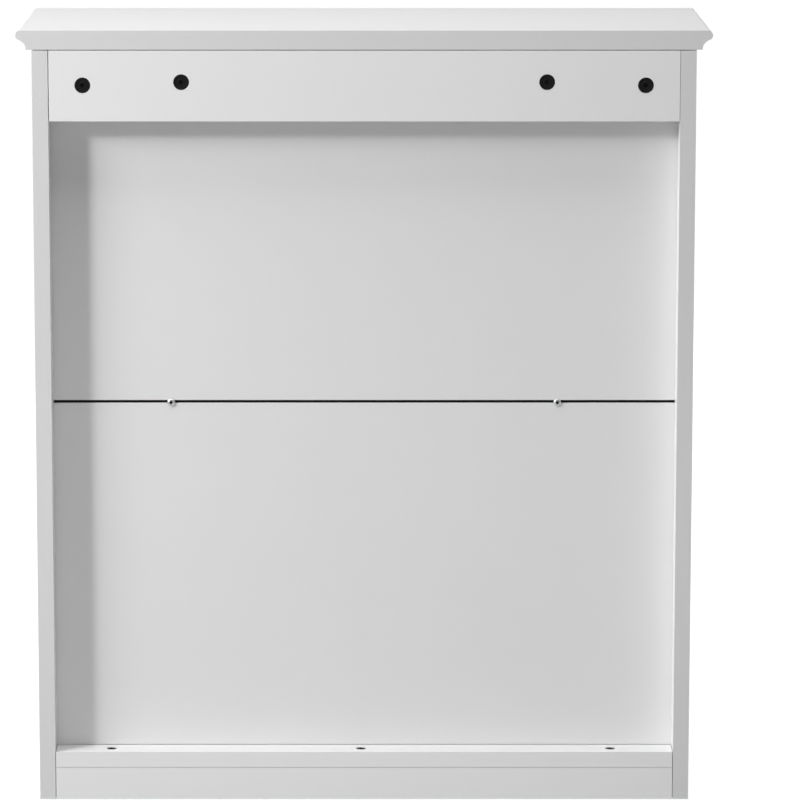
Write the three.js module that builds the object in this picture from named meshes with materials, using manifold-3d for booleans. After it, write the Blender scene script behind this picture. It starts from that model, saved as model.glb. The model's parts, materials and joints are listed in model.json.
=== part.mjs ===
// Shoe cabinet with two flip-down doors, in millimetres, +Z up.
// The front faces -Y and the open rear faces +Y. The origin is on the floor, under the middle of
// the whole cabinet. Left and right are those of a person who stands in front of it.
import * as THREE from "three";
import { mergeVertices } from "three/addons/utils/BufferGeometryUtils.js";
import Module from "manifold-3d";

const wasm = await Module();
wasm.setup();

// ---------------------------------------------------------------- driving dimensions

const BODY_WIDTH = 624;
const BODY_DEPTH = 234;
const BOARD = 15; // sides, shelf, rails, plinth and doors
const TOP_THICK = 18;
const BACK_THICK = 3; // hardboard back panels
const FOOT_HEIGHT = 3;
const SIDE_HEIGHT = 723;
const BASE_HEIGHT = 31.5; // from the lower edge of the sides up to the bottom shelf
const KNOB_OUT = 24; // how far a knob stands out of its door
const JOINT = 0.4; // open line between two boards
const SLIP = 0.2; // open line inside a glued or screwed joint

const RECESS = 30; // from the rear edges in to the back panels
const GROOVE_DEEP = 4;
const REAR_RAIL_HEIGHT = 67;
const MIDDLE_RAIL_HEIGHT = 60;
const BASE_RAIL_DEEP = 30;
const SEAM = 2.8; // open line between the two back panels

const DOOR_HEIGHT = 332.5;
const DOOR_SIDE_GAP = 2;
const DOOR_GAP = 4; // under each door
const FRAME_WIDTH = 55; // stiles and rails of a door
const DOOR_PANEL_THICK = 6;
const TONGUE = 8; // how far a door panel sits in its frame
const PIVOT_UP = 10; // pivot above the lower edge of its door
const OPEN_DEGREES = 42;

const RACK_BOARD = 9;
const BRACKET_THICK = 4;
const STOP_RADIUS = 120; // from the pivot to the stop peg
const STOP_CLOSED_DEGREES = 64; // place of the stop peg round the pivot, from the rear up

const ROUND = 32; // sides of a round piece
const SMALL_ROUND = 24;

// ---------------------------------------------------------------- places worked out from them

const REAR = (BODY_DEPTH + KNOB_OUT) / 2;
const FRONT = REAR - BODY_DEPTH;
const INNER = BODY_WIDTH / 2 - BOARD; // inner face of a side, from the middle
const UNDER_TOP = FOOT_HEIGHT + SIDE_HEIGHT;
const SHELF_UNDER = FOOT_HEIGHT + BASE_HEIGHT;
const SHELF_TOP = SHELF_UNDER + BOARD;
const BACK_REAR = REAR - RECESS; // rear face of the back panels
const BACK_FRONT = BACK_REAR - BACK_THICK;
const SEAM_HEIGHT = (SHELF_TOP + UNDER_TOP) / 2 - 1.4;
const BETWEEN = INNER - JOINT; // half length of a board that fits between the sides
const DOOR_HALF = INNER - DOOR_SIDE_GAP;
const PIVOT_Y = FRONT + BOARD / 2;
const DOOR_BOTTOMS = {
  lower: SHELF_TOP + DOOR_GAP,
  upper: SHELF_TOP + 2 * DOOR_GAP + DOOR_HEIGHT,
};
const RADIANS = Math.PI / 180;

// ---------------------------------------------------------------- finishes

const finish = (color, roughness, metalness = 0) =>
  new THREE.MeshStandardMaterial({ color, roughness, metalness });

const WHITE_FOIL = finish(0xecebe9, 0.45);
const WHITE_BACK = finish(0xe4e3e1, 0.55);
const RACK_WHITE = finish(0xe6e5e2, 0.5);
const BLACK_TAPE = finish(0x0c0c0c, 0.9);
const BLACK_ZINC = finish(0x141414, 0.4, 0.6);
const BRIGHT_ZINC = finish(0xb9bcc0, 0.35, 0.9);
const SATIN_NICKEL = finish(0xb4b1aa, 0.3, 1);
const WHITE_PLASTIC = finish(0xdedddb, 0.4);

// ---------------------------------------------------------------- solids

// A closed geometry as a manifold-3d solid.
function solid(geometry) {
  const bare = geometry.index ? geometry.toNonIndexed() : geometry.clone();
  bare.deleteAttribute("normal");
  bare.deleteAttribute("uv");
  const merged = mergeVertices(bare, 1e-4);
  return new wasm.Manifold(
    new wasm.Mesh({
      numProp: 3,
      vertProperties: merged.attributes.position.array,
      triVerts: new Uint32Array(merged.index.array),
    }),
  );
}

// A manifold-3d solid as a flat-shaded geometry.
function geometryOf(shape) {
  const { vertProperties, triVerts, numProp } = shape.getMesh();
  const positions = new Float32Array((vertProperties.length / numProp) * 3);
  for (let i = 0; i < positions.length / 3; i++)
    positions.set(vertProperties.subarray(i * numProp, i * numProp + 3), i * 3);
  const indexed = new THREE.BufferGeometry()
    .setAttribute("position", new THREE.BufferAttribute(positions, 3))
    .setIndex(new THREE.BufferAttribute(new Uint32Array(triVerts), 1));
  const flat = indexed.toNonIndexed();
  flat.computeVertexNormals();
  return flat;
}

const cut = (geometry, ...tools) =>
  geometryOf(tools.reduce((left, tool) => left.subtract(solid(tool)), solid(geometry)));

const join = (geometry, ...others) =>
  geometryOf(others.reduce((whole, other) => whole.add(solid(other)), solid(geometry)));

// A box from its low and high limits along X, Y and Z.
const box = ([x0, x1], [y0, y1], [z0, z1]) =>
  new THREE.BoxGeometry(x1 - x0, y1 - y0, z1 - z0).translate(
    (x0 + x1) / 2,
    (y0 + y1) / 2,
    (z0 + z1) / 2,
  );

// Turns a geometry made round its own +Y axis to point another way, then moves it to a place.
const POINTING = {
  "+x": (g) => g.rotateZ(-Math.PI / 2),
  "-x": (g) => g.rotateZ(Math.PI / 2),
  "+y": (g) => g,
  "-y": (g) => g.rotateX(Math.PI),
  "+z": (g) => g.rotateX(Math.PI / 2),
  "-z": (g) => g.rotateX(-Math.PI / 2),
};
const point = (geometry, way, place) => POINTING[way](geometry).translate(...place);

// A round bar that starts at a place and runs one way.
const bar = (radius, length, way, place, sides = SMALL_ROUND) =>
  point(new THREE.CylinderGeometry(radius, radius, length, sides).translate(0, length / 2, 0), way, place);

// A turned piece. Its profile is [radius, distance along the axis], from end to end on the axis.
const turned = (profile, way, place, sides = ROUND) =>
  point(
    new THREE.LatheGeometry(profile.map(([r, along]) => new THREE.Vector2(r, along)), sides),
    way,
    place,
  );

function piece(name, geometry, material) {
  const mesh = new THREE.Mesh(geometry, material);
  mesh.name = name;
  return mesh;
}

const SIDES = [
  ["left", -1],
  ["right", 1],
];
// The limits along X of something on one side, given as distances from the middle.
const span = (sign, near, far) => (sign > 0 ? [near, far] : [-far, -near]);
const outward = (sign) => (sign > 0 ? "+x" : "-x");

// ---------------------------------------------------------------- fasteners

const PIVOT_RADIUS = 4;
const PIVOT_IN_SIDE = 8;
const PIVOT_IN_STILE = 15;
const PEG_RADIUS = 4;
const PEG_IN_SIDE = 10;
const RUNNING = 0.3; // between a turning pin and its hole

const CAM_RADIUS = 7.5;
const CAM_DEEP = 12;
const CAM_BORE_DEEP = 12.5;
const CAM_FROM_END = 32.5; // outer cams, from the inner face of the side
const CAM_DOWN_END = 33.5; // outer cams, below the top
const CAM_FROM_MIDDLE = 171.8; // inner cams
const CAM_DOWN_MIDDLE = 30.5; // inner cams, below the top
const BOLT_THREAD = 10; // how far a cam bolt is screwed into its board
const BOLT_BORE = 3.75;
const BOLT_HEAD = 3.1;
const RAIL_MIDDLE = REAR - BOARD / 2;

const PANEL_SCREW_X = 184.5;
const PANEL_SCREW_HEIGHT = SEAM_HEIGHT - 0.8; // driven just under the middle of the seam
const PANEL_SCREW_RADIUS = 1.75;
const PANEL_SCREW_LENGTH = 16;

const BASE_SCREW_SPACING = 240.3;
const BASE_SCREW_SHIFT = 3; // the row of base screws is drilled a little off the middle
const BASE_SCREW_SUNK = 0.4;
const BASE_SCREW_LENGTH = 38;
const BASE_SCREW_HEAD = 4.6;

// Each cam lock: its place in the rail's rear face, and the way its bolt runs out to the board it pulls.
const CAM_LOCKS = [
  { name: "left_end", x: -(INNER - CAM_FROM_END), down: CAM_DOWN_END, way: "-x" },
  { name: "left_top", x: -CAM_FROM_MIDDLE, down: CAM_DOWN_MIDDLE, way: "+z" },
  { name: "right_top", x: CAM_FROM_MIDDLE, down: CAM_DOWN_MIDDLE, way: "+z" },
  { name: "right_end", x: INNER - CAM_FROM_END, down: CAM_DOWN_END, way: "+x" },
].map((cam) => ({
  ...cam,
  z: UNDER_TOP - cam.down,
  reach: cam.way === "+z" ? cam.down : CAM_FROM_END,
}));

const BASE_SCREWS = [-1, 0, 1].map((n) => BASE_SCREW_SHIFT + n * BASE_SCREW_SPACING);

// A cross recess, cut into the end of a head that faces one way.
function crossRecess(size, wing, deep, way, place) {
  const arm = (width, height) =>
    point(new THREE.BoxGeometry(width, 2 * deep, height), way, place);
  return [arm(size, wing), arm(wing, size)];
}

function camLock({ name, x, z, way }) {
  const face = [x, REAR - JOINT, z];
  const radius = CAM_RADIUS - SLIP;
  const rim = 0.8;
  const body = turned(
    [
      [0, -CAM_DEEP],
      [radius, -CAM_DEEP],
      [radius, -rim],
      [radius - rim, 0],
      [0, 0],
    ],
    "+y",
    face,
  );
  const channel = bar(BOLT_HEAD + 0.6, 2 * CAM_RADIUS, way, [
    x - (way === "+x" ? BOLT_HEAD : way === "-x" ? -BOLT_HEAD : 0),
    RAIL_MIDDLE,
    z - (way === "+z" ? BOLT_HEAD : 0),
  ]);
  return piece(
    `cam_lock_${name}`,
    cut(body, channel, ...crossRecess(8, 2, 2.6, "+y", face)),
    BLACK_ZINC,
  );
}

// The bolt is one turned piece: a ball head in the cam, a shank, a collar and a threaded end.
function camBolt({ name, x, z, way, reach }) {
  const shank = 2.2;
  const collar = 3.4;
  const thread = 2.4;
  return piece(
    `cam_bolt_${name}`,
    turned(
      [
        [0, -BOLT_HEAD + 0.6],
        [2, -BOLT_HEAD + 1],
        [BOLT_HEAD - 0.2, -0.8],
        [BOLT_HEAD - 0.2, 0.8],
        [shank, 2.4],
        [shank, reach - 8],
        [collar, reach - 7],
        [collar, reach - 1],
        [thread, reach - 1],
        [thread, reach + BOLT_THREAD - 2],
        [0, reach + BOLT_THREAD],
      ],
      way,
      [x, RAIL_MIDDLE, z],
      SMALL_ROUND,
    ),
    BRIGHT_ZINC,
  );
}

// The threaded end's hole in the board that a cam bolt is screwed into.
const camBoltHole = ({ x, z, way, reach }) => {
  const start = reach - 0.5;
  const place = [
    x + (way === "+x" ? start : way === "-x" ? -start : 0),
    RAIL_MIDDLE,
    z + (way === "+z" ? start : 0),
  ];
  return bar(2.6, BOLT_THREAD + 1.5, way, place);
};

function panelScrew(name, sign) {
  const place = [sign * PANEL_SCREW_X, BACK_REAR + SLIP, PANEL_SCREW_HEIGHT];
  const head = 3.8;
  const tall = 2.2;
  const profile = [
    [0, -PANEL_SCREW_LENGTH],
    [PANEL_SCREW_RADIUS, -PANEL_SCREW_LENGTH + 4],
    [PANEL_SCREW_RADIUS, 0],
    [head, 0],
    [head, 0.8],
    [head - 0.5, 1.5],
    [head - 1.7, 2],
    [0, tall],
  ];
  const body = turned(profile, "+y", place, SMALL_ROUND);
  const top = [place[0], place[1] + tall, place[2]];
  return piece(
    `back_panel_screw_${name}`,
    cut(body, ...crossRecess(4.2, 1, 1.4, "+y", top)),
    BRIGHT_ZINC,
  );
}

function baseScrew(name, x) {
  const top = [x, REAR - BASE_RAIL_DEEP / 2, SHELF_TOP - BASE_SCREW_SUNK];
  const profile = [
    [0, -BASE_SCREW_LENGTH],
    [2, -BASE_SCREW_LENGTH + 5],
    [2, -3.2],
    [BASE_SCREW_HEAD, -0.6],
    [BASE_SCREW_HEAD, 0],
    [0, 0],
  ];
  const body = turned(profile, "+z", top, SMALL_ROUND);
  return piece(
    `base_screw_${name}`,
    cut(body, ...crossRecess(4.6, 1.1, 2, "+z", top)),
    BLACK_ZINC,
  );
}

// The countersunk hole for a base screw, through the shelf and down into the base rail.
const baseScrewHole = (x) =>
  turned(
    [
      [0, -BASE_SCREW_LENGTH - 1],
      [2.3, -BASE_SCREW_LENGTH - 1],
      [2.3, -3.6],
      [BASE_SCREW_HEAD + 0.4, -0.9],
      [BASE_SCREW_HEAD + 0.4, BASE_SCREW_SUNK + 1],
      [0, BASE_SCREW_SUNK + 1],
    ],
    "+z",
    [x, REAR - BASE_RAIL_DEEP / 2, SHELF_TOP - BASE_SCREW_SUNK],
    SMALL_ROUND,
  );

// ---------------------------------------------------------------- feet

const FOOT_RADIUS = 7;
const FOOT_NAIL = 1.2;
const FOOT_NAIL_LENGTH = 12;
const FOOT_IN = 25; // from the front and rear edges of a side
const FOOT_PLACES = [
  ["front", FRONT + FOOT_IN],
  ["rear", REAR - FOOT_IN],
];

// A nail-in glide, flat underneath with a rounded edge.
function footGlide(side, sign, end, y) {
  const head = FOOT_HEIGHT - SLIP;
  return piece(
    `foot_glide_${end}_${side}`,
    turned(
      [
        [0, 0],
        [FOOT_RADIUS - 1.2, 0],
        [FOOT_RADIUS, 1],
        [FOOT_RADIUS, head],
        [FOOT_NAIL, head],
        [FOOT_NAIL, head + FOOT_NAIL_LENGTH - 2],
        [0, head + FOOT_NAIL_LENGTH],
      ],
      "+z",
      [sign * (INNER + BOARD / 2), y, 0],
      SMALL_ROUND,
    ),
    WHITE_PLASTIC,
  );
}

// ---------------------------------------------------------------- boards of the body

const BEAD = 4.5; // radius of the rounded nose round the top
const COVE = 7.6; // radius of the hollow under the nose
const NOSE_OUT = 15; // from the body out to the nose
const FOOT_OF_COVE = 5.5; // from the body out to the lower edge of the top

// The top's edge, as [distance out from the body, height above the underside], from the underside up.
function topEdge() {
  const points = [
    [FOOT_OF_COVE, 0],
    [FOOT_OF_COVE, 1],
  ];
  const steps = 6;
  const beadFoot = [NOSE_OUT - BEAD, TOP_THICK - 2 * BEAD];
  const hollow = [FOOT_OF_COVE + COVE, 1];
  const end = Math.acos((hollow[0] - beadFoot[0]) / COVE);
  for (let i = 1; i <= steps; i++) {
    const angle = (end * i) / steps;
    points.push([hollow[0] - COVE * Math.cos(angle), hollow[1] + COVE * Math.sin(angle)]);
  }
  for (let i = 0; i <= 2 * steps; i++) {
    const angle = -Math.PI / 2 + (Math.PI * i) / (2 * steps);
    points.push([
      beadFoot[0] + BEAD * Math.cos(angle),
      TOP_THICK - BEAD + BEAD * Math.sin(angle),
    ]);
  }
  return points;
}

// The top: a stack of outlines that follow the moulded edge at the front and both ends, cut square at the rear.
function topBoard() {
  const positions = [];
  const faces = [];
  const edge = topEdge();
  for (const [out, up] of edge) {
    const x = BODY_WIDTH / 2 + out;
    const y = FRONT - out;
    const z = UNDER_TOP + up;
    positions.push(-x, y, z, x, y, z, x, REAR, z, -x, REAR, z);
  }
  const last = (edge.length - 1) * 4;
  faces.push(0, 2, 1, 0, 3, 2, last, last + 1, last + 2, last, last + 2, last + 3);
  for (let ring = 0; ring < last; ring += 4)
    for (let i = 0; i < 4; i++) {
      const [a, b] = [ring + i, ring + ((i + 1) % 4)];
      faces.push(a, b, b + 4, a, b + 4, a + 4);
    }
  const moulded = new THREE.BufferGeometry()
    .setAttribute("position", new THREE.BufferAttribute(new Float32Array(positions), 3))
    .setIndex(faces);
  const holes = CAM_LOCKS.filter((cam) => cam.way === "+z").map(camBoltHole);
  return piece("top_board", cut(moulded, backGroove([UNDER_TOP - 1, UNDER_TOP + GROOVE_DEEP]), ...holes), WHITE_FOIL);
}

// The groove that the back panels stand in, over the whole width between the sides' groove floors.
const backGroove = (heights, across = [-(INNER + GROOVE_DEEP), INNER + GROOVE_DEEP]) =>
  box(across, [BACK_FRONT - RUNNING, BACK_REAR + RUNNING], heights);

function sidePanel(name, sign) {
  const board = box(span(sign, INNER, INNER + BOARD), [FRONT, REAR], [FOOT_HEIGHT, UNDER_TOP - JOINT]);
  const groove = backGroove([SHELF_UNDER, UNDER_TOP], span(sign, INNER - 1, INNER + GROOVE_DEEP));
  const inner = sign * (INNER - 1);
  const pivots = Object.values(DOOR_BOTTOMS).map((bottom) =>
    bar(PIVOT_RADIUS + RUNNING, PIVOT_IN_SIDE + 1.5, outward(sign), [inner, PIVOT_Y, bottom + PIVOT_UP]),
  );
  const pegs = Object.values(DOOR_BOTTOMS).map((bottom) =>
    bar(PEG_RADIUS + SLIP, PEG_IN_SIDE + 1.5, outward(sign), [inner, ...stopPlace(bottom)]),
  );
  const nails = FOOT_PLACES.map(([, y]) =>
    bar(FOOT_NAIL + SLIP, FOOT_NAIL_LENGTH + 1, "+z", [sign * (INNER + BOARD / 2), y, FOOT_HEIGHT - 0.5]),
  );
  const bolt = camBoltHole(CAM_LOCKS.find((cam) => cam.way === outward(sign)));
  return piece(`side_panel_${name}`, cut(board, groove, ...pivots, ...pegs, ...nails, bolt), WHITE_FOIL);
}

function bottomShelf() {
  const board = box([-BETWEEN, BETWEEN], [FRONT, REAR], [SHELF_UNDER, SHELF_TOP]);
  const groove = backGroove([SHELF_TOP - GROOVE_DEEP, SHELF_TOP + 1]);
  return piece("bottom_shelf", cut(board, groove, ...BASE_SCREWS.map(baseScrewHole)), WHITE_FOIL);
}

function rearBaseRail() {
  const rail = box([-BETWEEN, BETWEEN], [REAR - BASE_RAIL_DEEP, REAR], [FOOT_HEIGHT, SHELF_UNDER - JOINT]);
  return piece("rear_base_rail", cut(rail, ...BASE_SCREWS.map(baseScrewHole)), WHITE_FOIL);
}

function frontPlinth() {
  const plinth = box([-BETWEEN, BETWEEN], [FRONT, FRONT + BOARD], [FOOT_HEIGHT, SHELF_UNDER - JOINT]);
  return piece("front_plinth", plinth, WHITE_FOIL);
}

function rearTopRail() {
  const top = UNDER_TOP - JOINT;
  const rail = box([-BETWEEN, BETWEEN], [REAR - BOARD, REAR], [top - REAR_RAIL_HEIGHT, top]);
  const seats = CAM_LOCKS.map(({ x, z }) => bar(CAM_RADIUS, CAM_BORE_DEEP + 1, "-y", [x, REAR + 1, z], ROUND));
  const bores = CAM_LOCKS.map(({ x, z, way, reach }) => bar(BOLT_BORE, reach + 1, way, [x, RAIL_MIDDLE, z]));
  return piece("rear_top_rail", cut(rail, ...seats, ...bores), WHITE_FOIL);
}

const TAPE_THICK = 0.3;
const TAPE_WIDTH = 24;
const TAPE_ROOM = 0.8; // between the back panels and the middle rail

const panelScrewHole = (sign) =>
  bar(PANEL_SCREW_RADIUS + SLIP, PANEL_SCREW_LENGTH + 2, "-y", [
    sign * PANEL_SCREW_X,
    BACK_REAR + 1,
    PANEL_SCREW_HEIGHT,
  ]);

function middleRail() {
  const rear = BACK_FRONT - TAPE_ROOM;
  const half = MIDDLE_RAIL_HEIGHT / 2;
  const rail = box([-BETWEEN, BETWEEN], [rear - BOARD, rear], [SEAM_HEIGHT - half, SEAM_HEIGHT + half]);
  return piece("middle_rail", cut(rail, ...SIDES.map(([, sign]) => panelScrewHole(sign))), WHITE_FOIL);
}

function seamTape() {
  const front = BACK_FRONT - (TAPE_ROOM + TAPE_THICK) / 2;
  const half = TAPE_WIDTH / 2;
  const tape = box([-BETWEEN, BETWEEN], [front, front + TAPE_THICK], [SEAM_HEIGHT - half, SEAM_HEIGHT + half]);
  return piece("seam_tape", cut(tape, ...SIDES.map(([, sign]) => panelScrewHole(sign))), BLACK_TAPE);
}

function backPanel(name, heights) {
  const half = INNER + GROOVE_DEEP - JOINT;
  const panel = box([-half, half], [BACK_FRONT, BACK_REAR], heights);
  return piece(`back_panel_${name}`, cut(panel, ...SIDES.map(([, sign]) => panelScrewHole(sign))), WHITE_BACK);
}

// ---------------------------------------------------------------- flip-down units

// A unit is made round its pivot: +Y runs from the pivot towards the rear, and +Z up the door.
const DOOR_FACE = -BOARD / 2;
const DOOR_BACK = BOARD / 2;
const DOOR_LOW = -PIVOT_UP;
const DOOR_HIGH = DOOR_HEIGHT - PIVOT_UP;
const STILE_IN = DOOR_HALF - FRAME_WIDTH;
const RAIL_LOW = DOOR_LOW + FRAME_WIDTH; // inner edge of the bottom rail
const RAIL_HIGH = DOOR_HIGH - FRAME_WIDTH; // inner edge of the top rail
const DOOR_GROOVE = [-DOOR_PANEL_THICK / 2 - RUNNING, DOOR_PANEL_THICK / 2 + RUNNING];
const DOOR_PANEL = [-DOOR_PANEL_THICK / 2, DOOR_PANEL_THICK / 2];

const BRACKET_OUT = DOOR_HALF - 3; // outer face of a bracket
const BRACKET_IN = BRACKET_OUT - BRACKET_THICK;
const FLANGE_WIDE = 18;
const FLANGE_THICK = 3;
const RACK_HALF = BRACKET_IN - JOINT;
const RACK_REAR = 165.4; // rear face of the rack, behind the pivot
const FRONT_ROW_DEEP = 64.4;
const FRONT_BASE_UP = 6; // above the pivot
const REAR_BASE_UP = 36;
const FRONT_DIVIDER_HIGH = 195;
const REAR_BOARD_HIGH = 268;
const BRACKET_MARGIN = 4;

// The stop peg's Y and Z for a door whose lower edge is at a given height.
function stopPlace(doorBottom) {
  const angle = STOP_CLOSED_DEGREES * RADIANS;
  return [
    PIVOT_Y + STOP_RADIUS * Math.cos(angle),
    doorBottom + PIVOT_UP + STOP_RADIUS * Math.sin(angle),
  ];
}

function doorStile(name, sign) {
  const stile = box(span(sign, STILE_IN, DOOR_HALF), [DOOR_FACE, DOOR_BACK], [DOOR_LOW, DOOR_HIGH]);
  const groove = box(
    span(sign, STILE_IN - 1, STILE_IN + TONGUE + RUNNING),
    DOOR_GROOVE,
    [DOOR_LOW + TONGUE, DOOR_HIGH - TONGUE],
  );
  const bore = bar(PIVOT_RADIUS + SLIP, PIVOT_IN_STILE + 1.5, outward(-sign), [sign * (DOOR_HALF + 1), 0, 0]);
  return piece(name, cut(stile, groove, bore), WHITE_FOIL);
}

// A rail with a groove for the panel along its inner edge and a tongue at each end.
function doorRail(name, [low, high], grooveAtTop) {
  const groove = grooveAtTop ? [high - TONGUE - RUNNING, high + 1] : [low - 1, low + TONGUE + RUNNING];
  const tongueHeights = grooveAtTop
    ? [low + TONGUE + RUNNING, high - TONGUE - RUNNING]
    : [low + TONGUE + RUNNING, high - TONGUE - RUNNING];
  const body = join(
    box([-(STILE_IN - SLIP), STILE_IN - SLIP], [DOOR_FACE, DOOR_BACK], [low, high]),
    box([-(STILE_IN + TONGUE - RUNNING), STILE_IN + TONGUE - RUNNING], DOOR_PANEL, tongueHeights),
  );
  return piece(name, cut(body, box([-DOOR_HALF, DOOR_HALF], DOOR_GROOVE, groove)), WHITE_FOIL);
}

function doorPanel(name) {
  const half = STILE_IN + TONGUE - RUNNING;
  const panel = box([-half, half], DOOR_PANEL, [RAIL_LOW - TONGUE, RAIL_HIGH + TONGUE]);
  return piece(name, panel, WHITE_FOIL);
}

// A mushroom knob on the top rail, turned in one piece with its foot and neck.
function knob(name) {
  const tall = KNOB_OUT - SLIP;
  const profile = [
    [0, 0],
    [9.5, 0],
    [9.5, 1.6],
    [7, 3],
    [5.2, 6],
    [5, 9],
    [6.2, 11.6],
    [10.5, 13.4],
    [13.8, 15.6],
    [14.6, 17.6],
    [13.9, 19.8],
    [11.4, 21.8],
    [7.4, 23.2],
    [3.4, 23.7],
    [0, tall],
  ];
  const place = [0, DOOR_FACE - SLIP, (RAIL_HIGH + DOOR_HIGH) / 2];
  return piece(name, turned(profile, "-y", place), SATIN_NICKEL);
}

function pivotPin(name, sign) {
  const length = PIVOT_IN_STILE + DOOR_SIDE_GAP + PIVOT_IN_SIDE;
  const start = [sign * (DOOR_HALF - PIVOT_IN_STILE), 0, 0];
  return piece(name, bar(PIVOT_RADIUS, length, outward(sign), start), BRIGHT_ZINC);
}

// The side outline of a rack bracket, drawn in Y and Z round the pivot, with the curved slot of the stop.
function bracketOutline() {
  const front = DOOR_BACK + 0.5;
  const rear = RACK_REAR + BRACKET_MARGIN;
  const outline = new THREE.Shape();
  outline.moveTo(front, FRONT_BASE_UP - BRACKET_MARGIN);
  outline.lineTo(FRONT_ROW_DEEP + 25, FRONT_BASE_UP - BRACKET_MARGIN);
  outline.lineTo(rear, REAR_BASE_UP - BRACKET_MARGIN);
  outline.lineTo(rear, REAR_BOARD_HIGH + BRACKET_MARGIN);
  outline.lineTo(rear - 17, REAR_BOARD_HIGH + BRACKET_MARGIN);
  outline.quadraticCurveTo(rear - 26, 170, 108, 140);
  outline.quadraticCurveTo(96, 165, 91, FRONT_DIVIDER_HIGH + BRACKET_MARGIN);
  outline.lineTo(72, FRONT_DIVIDER_HIGH + BRACKET_MARGIN);
  outline.quadraticCurveTo(60, 150, 38, 150);
  outline.quadraticCurveTo(24, 165, 22, 220);
  outline.lineTo(front, 220);
  outline.closePath();

  const half = PEG_RADIUS + 2 * RUNNING;
  const start = (STOP_CLOSED_DEGREES - OPEN_DEGREES) * RADIANS;
  const end = STOP_CLOSED_DEGREES * RADIANS;
  const at = (angle) => [STOP_RADIUS * Math.cos(angle), STOP_RADIUS * Math.sin(angle)];
  const slot = new THREE.Path();
  slot.absarc(0, 0, STOP_RADIUS + half, start, end, false);
  slot.absarc(...at(end), half, end, end + Math.PI, false);
  slot.absarc(0, 0, STOP_RADIUS - half, end, start, true);
  slot.absarc(...at(start), half, start + Math.PI, start + 2 * Math.PI, false);
  outline.holes.push(slot);
  return outline;
}

function rackBracket(name, sign) {
  const toPlace = new THREE.Matrix4().makeBasis(
    new THREE.Vector3(0, 1, 0),
    new THREE.Vector3(0, 0, 1),
    new THREE.Vector3(1, 0, 0),
  );
  const plate = new THREE.ExtrudeGeometry(bracketOutline(), {
    depth: BRACKET_THICK,
    bevelEnabled: false,
    curveSegments: 8,
  })
    .applyMatrix4(toPlace)
    .translate(sign > 0 ? BRACKET_IN : -BRACKET_OUT, 0, 0);
  const flange = box(
    span(sign, BRACKET_IN - FLANGE_WIDE, BRACKET_IN + 1),
    [DOOR_BACK + 0.5, DOOR_BACK + 0.5 + FLANGE_THICK],
    [18, 216],
  );
  return piece(name, join(plate, flange), WHITE_PLASTIC);
}

// A board of the rack from its limits behind and above the pivot.
const rackBoard = (name, depths, heights) =>
  piece(name, box([-RACK_HALF, RACK_HALF], depths, heights), RACK_WHITE);

function flipUnit(unit) {
  const group = new THREE.Group();
  group.position.set(0, PIVOT_Y, DOOR_BOTTOMS[unit] + PIVOT_UP);
  for (const [side, sign] of SIDES)
    group.add(
      doorStile(`${unit}_door_stile_${side}`, sign),
      pivotPin(`${unit}_pivot_pin_${side}`, sign),
      rackBracket(`${unit}_rack_bracket_${side}`, sign),
    );

  const frontStart = DOOR_BACK + 0.5 + FLANGE_THICK + JOINT;
  const divider = frontStart + FRONT_ROW_DEEP + JOINT;
  const rearStart = divider + RACK_BOARD + JOINT;
  const rearBoard = RACK_REAR - RACK_BOARD;
  group.add(
    doorRail(`${unit}_door_rail_bottom`, [DOOR_LOW, RAIL_LOW], true),
    doorRail(`${unit}_door_rail_top`, [RAIL_HIGH, DOOR_HIGH], false),
    doorPanel(`${unit}_door_panel`),
    knob(`${unit}_knob`),
    rackBoard(
      `${unit}_rack_front_base`,
      [frontStart, frontStart + FRONT_ROW_DEEP],
      [FRONT_BASE_UP, FRONT_BASE_UP + RACK_BOARD],
    ),
    rackBoard(`${unit}_rack_divider`, [divider, divider + RACK_BOARD], [FRONT_BASE_UP, FRONT_DIVIDER_HIGH]),
    rackBoard(
      `${unit}_rack_rear_base`,
      [rearStart, rearBoard - JOINT],
      [REAR_BASE_UP, REAR_BASE_UP + RACK_BOARD],
    ),
    rackBoard(`${unit}_rack_rear_board`, [rearBoard, RACK_REAR], [REAR_BASE_UP, REAR_BOARD_HIGH]),
  );
  return group;
}

// The peg that ends a door's travel, fixed in the side and reaching into the bracket's slot.
function stopPeg(unit, side, sign) {
  const inset = BRACKET_IN + 1.5;
  const length = INNER - inset + PEG_IN_SIDE;
  const place = [sign * inset, ...stopPlace(DOOR_BOTTOMS[unit])];
  return piece(`${unit}_stop_peg_${side}`, bar(PEG_RADIUS, length, outward(sign), place), WHITE_PLASTIC);
}

// ---------------------------------------------------------------- assembly

const cabinet = new THREE.Group();

cabinet.add(
  topBoard(),
  bottomShelf(),
  rearTopRail(),
  middleRail(),
  seamTape(),
  rearBaseRail(),
  frontPlinth(),
  backPanel("lower", [SHELF_TOP - GROOVE_DEEP + JOINT, SEAM_HEIGHT - SEAM / 2]),
  backPanel("upper", [SEAM_HEIGHT + SEAM / 2, UNDER_TOP + GROOVE_DEEP - JOINT]),
);

for (const [side, sign] of SIDES) {
  cabinet.add(sidePanel(side, sign), panelScrew(side, sign));
  for (const [end, y] of FOOT_PLACES) cabinet.add(footGlide(side, sign, end, y));
  for (const unit of Object.keys(DOOR_BOTTOMS)) cabinet.add(stopPeg(unit, side, sign));
}

CAM_LOCKS.forEach((cam) => cabinet.add(camLock(cam), camBolt(cam)));
["left", "middle", "right"].forEach((name, i) => cabinet.add(baseScrew(name, BASE_SCREWS[i])));
Object.keys(DOOR_BOTTOMS).forEach((unit) => cabinet.add(flipUnit(unit)));

export default cabinet;
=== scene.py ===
# %% [markdown]
# # A shoe cabinet, seen from behind
# The cabinet is flat-pack furniture: white foil-covered boards, a moulded top, two flip-down doors
# with shoe racks on them, and an open rear frame that shows two thin back panels and black cam locks.
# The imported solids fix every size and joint. This script gives each one its fine shape and its finish.

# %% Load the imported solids
import json
import math

import bmesh
import bpy
from mathutils import Matrix, Vector


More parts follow.
